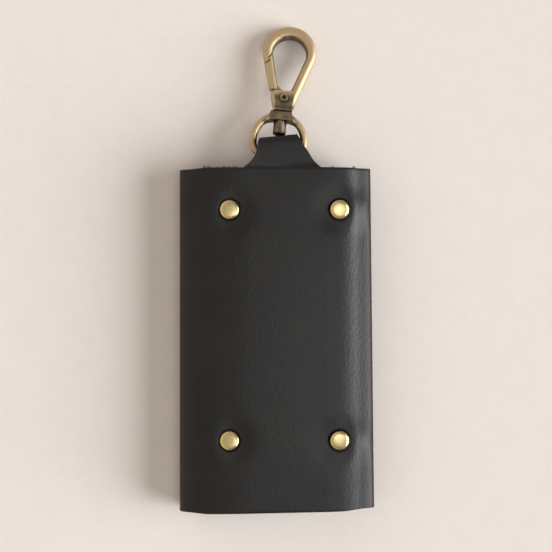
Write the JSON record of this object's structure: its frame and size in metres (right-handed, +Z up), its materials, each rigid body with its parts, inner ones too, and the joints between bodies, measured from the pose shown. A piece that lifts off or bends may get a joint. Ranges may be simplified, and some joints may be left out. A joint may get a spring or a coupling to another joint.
{
  "type": "key case",
  "caption": "Folded leather key case with a riveted panel, rolled side folds, snap-closed flaps, swivelling key hooks inside and a swivel snap clasp on a leather tab.",
  "frame": {"origin": "on the table under the middle of the whole part, case and clasp together", "axes": "+X across the case, +Y along it towards the clasp, +Z up through the riveted panel"},
  "size_m": [0.065, 0.1648, 0.0168],
  "materials": {
    "black_leather": "matte oiled",
    "pale_brass": "polished",
    "antique_brass": "aged, dark in the recesses",
    "nickel": "nickel plated",
    "spring_steel": "bare"
  },
  "bodies": {
    "case": {"front_panel": "black_leather", "hanger_tab": "black_leather", "rivet_caps": "pale_brass", "rivet_backs": "pale_brass", "upper_key_plate": "nickel", "lower_key_plate": "nickel"},
    "left_fold": {"left_fold": "black_leather"},
    "outer_flap": {"outer_flap": "black_leather", "snap_caps": "pale_brass", "snap_sockets": "pale_brass"},
    "right_fold": {"right_fold": "black_leather"},
    "inner_flap": {"inner_flap": "black_leather", "snap_studs": "pale_brass", "snap_eyelets": "pale_brass"},
    "eye": {"swivel_eye": "antique_brass"},
    "hook": {"clasp_hook": "antique_brass", "swivel_pin": "antique_brass", "gate_pin": "antique_brass", "gate_spring": "spring_steel"},
    "gate": {"clasp_gate": "antique_brass"},
    "upper_hook_1": {"upper_key_hook_1": "nickel"},
    "upper_tongue_1": {"upper_hook_tongue_1": "spring_steel"},
    "upper_hook_2": {"upper_key_hook_2": "nickel"},
    "upper_tongue_2": {"upper_hook_tongue_2": "spring_steel"},
    "upper_hook_3": {"upper_key_hook_3": "nickel"},
    "upper_tongue_3": {"upper_hook_tongue_3": "spring_steel"},
    "upper_hook_4": {"upper_key_hook_4": "nickel"},
    "upper_tongue_4": {"upper_hook_tongue_4": "spring_steel"},
    "lower_hook_1": {"lower_key_hook_1": "nickel"},
    "lower_tongue_1": {"lower_hook_tongue_1": "spring_steel"},
    "lower_hook_2": {"lower_key_hook_2": "nickel"},
    "lower_tongue_2": {"lower_hook_tongue_2": "spring_steel"},
    "lower_hook_3": {"lower_key_hook_3": "nickel"},
    "lower_tongue_3": {"lower_hook_tongue_3": "spring_steel"},
    "lower_hook_4": {"lower_key_hook_4": "nickel"},
    "lower_tongue_4": {"lower_hook_tongue_4": "spring_steel"}
  },
  "joints": [
    {"name": "left_upper_fold", "type": "hinge", "parent": "case", "child": "left_fold", "pos_m": [-0.0303, -0.02438, 0.0136], "axis": [0, 1, 0], "range_deg": [0, 90], "deforming": ["left_fold"]},
    {"name": "left_lower_fold", "type": "hinge", "parent": "left_fold", "child": "outer_flap", "pos_m": [-0.0303, -0.02438, 0.003], "axis": [0, 1, 0], "range_deg": [0, 90], "deforming": ["left_fold"]},
    {"name": "right_upper_fold", "type": "hinge", "parent": "case", "child": "right_fold", "pos_m": [0.0307, -0.02438, 0.014], "axis": [0, -1, 0], "range_deg": [0, 90], "deforming": ["right_fold"]},
    {"name": "right_lower_fold", "type": "hinge", "parent": "right_fold", "child": "inner_flap", "pos_m": [0.0307, -0.02438, 0.0063], "axis": [0, -1, 0], "range_deg": [0, 90], "deforming": ["right_fold"]},
    {"name": "eye_swing", "type": "hinge", "parent": "case", "child": "eye", "pos_m": [0.0003, 0.03897, 0.01065], "axis": [0.9959, -0.0906, 0], "range_deg": [-18, 40]},
    {"name": "hook_swivel", "type": "hinge", "parent": "eye", "child": "hook", "pos_m": [0.00155, 0.05274, 0.00789], "axis": [0.0889, 0.9767, -0.1954], "continuous": true},
    {"name": "gate_hinge", "type": "hinge", "parent": "hook", "child": "gate", "pos_m": [0.00241, 0.05724, 0.00699], "axis": [-0.0177, -0.1946, -0.9807], "range_deg": [0, 22], "stiffness_Nm_per_rad": 0.03, "springref_deg": -20.05},
    {"name": "upper_hook_1_swivel", "type": "hinge", "parent": "case", "child": "upper_hook_1", "pos_m": [-0.0093, 0.01492, 0.0089], "axis": [0, 1, 0], "continuous": true},
    {"name": "upper_tongue_1_hinge", "type": "hinge", "parent": "upper_hook_1", "child": "upper_tongue_1", "pos_m": [-0.0093, 0.00968, 0.00783], "axis": [-1, 0, 0], "range_deg": [0, 12], "stiffness_Nm_per_rad": 0.001, "springref_deg": -8.59},
    {"name": "upper_hook_2_swivel", "type": "hinge", "parent": "case", "child": "upper_hook_2", "pos_m": [-0.0013, 0.01492, 0.0089], "axis": [0, 1, 0], "continuous": true},
    {"name": "upper_tongue_2_hinge", "type": "hinge", "parent": "upper_hook_2", "child": "upper_tongue_2", "pos_m": [-0.0013, 0.00968, 0.00783], "axis": [-1, 0, 0], "range_deg": [0, 12], "stiffness_Nm_per_rad": 0.001, "springref_deg": -8.59},
    {"name": "upper_hook_3_swivel", "type": "hinge", "parent": "case", "child": "upper_hook_3", "pos_m": [0.0067, 0.01492, 0.0089], "axis": [0, 1, 0], "continuous": true},
    {"name": "upper_tongue_3_hinge", "type": "hinge", "parent": "upper_hook_3", "child": "upper_tongue_3", "pos_m": [0.0067, 0.00968, 0.00783], "axis": [-1, 0, 0], "range_deg": [0, 12], "stiffness_Nm_per_rad": 0.001, "springref_deg": -8.59},
    {"name": "upper_hook_4_swivel", "type": "hinge", "parent": "case", "child": "upper_hook_4", "pos_m": [0.0147, 0.01492, 0.0089], "axis": [0, 1, 0], "continuous": true},
    {"name": "upper_tongue_4_hinge", "type": "hinge", "parent": "upper_hook_4", "child": "upper_tongue_4", "pos_m": [0.0147, 0.00968, 0.00783], "axis": [-1, 0, 0], "range_deg": [0, 12], "stiffness_Nm_per_rad": 0.001, "springref_deg": -8.59},
    {"name": "lower_hook_1_swivel", "type": "hinge", "parent": "case", "child": "lower_hook_1", "pos_m": [-0.0093, -0.05358, 0.0115], "axis": [0, 1, 0], "continuous": true},
    {"name": "lower_tongue_1_hinge", "type": "hinge", "parent": "lower_hook_1", "child": "lower_tongue_1", "pos_m": [-0.0093, -0.04834, 0.01043], "axis": [1, 0, 0], "range_deg": [0, 12], "stiffness_Nm_per_rad": 0.001, "springref_deg": -8.59},
    {"name": "lower_hook_2_swivel", "type": "hinge", "parent": "case", "child": "lower_hook_2", "pos_m": [-0.0013, -0.05358, 0.0115], "axis": [0, 1, 0], "continuous": true},
    {"name": "lower_tongue_2_hinge", "type": "hinge", "parent": "lower_hook_2", "child": "lower_tongue_2", "pos_m": [-0.0013, -0.04834, 0.01043], "axis": [1, 0, 0], "range_deg": [0, 12], "stiffness_Nm_per_rad": 0.001, "springref_deg": -8.59},
    {"name": "lower_hook_3_swivel", "type": "hinge", "parent": "case", "child": "lower_hook_3", "pos_m": [0.0067, -0.05358, 0.0115], "axis": [0, 1, 0], "continuous": true},
    {"name": "lower_tongue_3_hinge", "type": "hinge", "parent": "lower_hook_3", "child": "lower_tongue_3", "pos_m": [0.0067, -0.04834, 0.01043], "axis": [1, 0, 0], "range_deg": [0, 12], "stiffness_Nm_per_rad": 0.001, "springref_deg": -8.59},
    {"name": "lower_hook_4_swivel", "type": "hinge", "parent": "case", "child": "lower_hook_4", "pos_m": [0.0147, -0.05358, 0.0115], "axis": [0, 1, 0], "continuous": true},
    {"name": "lower_tongue_4_hinge", "type": "hinge", "parent": "lower_hook_4", "child": "lower_tongue_4", "pos_m": [0.0147, -0.04834, 0.01043], "axis": [1, 0, 0], "range_deg": [0, 12], "stiffness_Nm_per_rad": 0.001, "springref_deg": -8.59}
  ],
  "couplings": [
    {"joint": "left_lower_fold", "follows": "left_upper_fold", "ratio": 1},
    {"joint": "right_upper_fold", "follows": "left_upper_fold", "ratio": 1},
    {"joint": "right_lower_fold", "follows": "left_upper_fold", "ratio": 1}
  ]
}
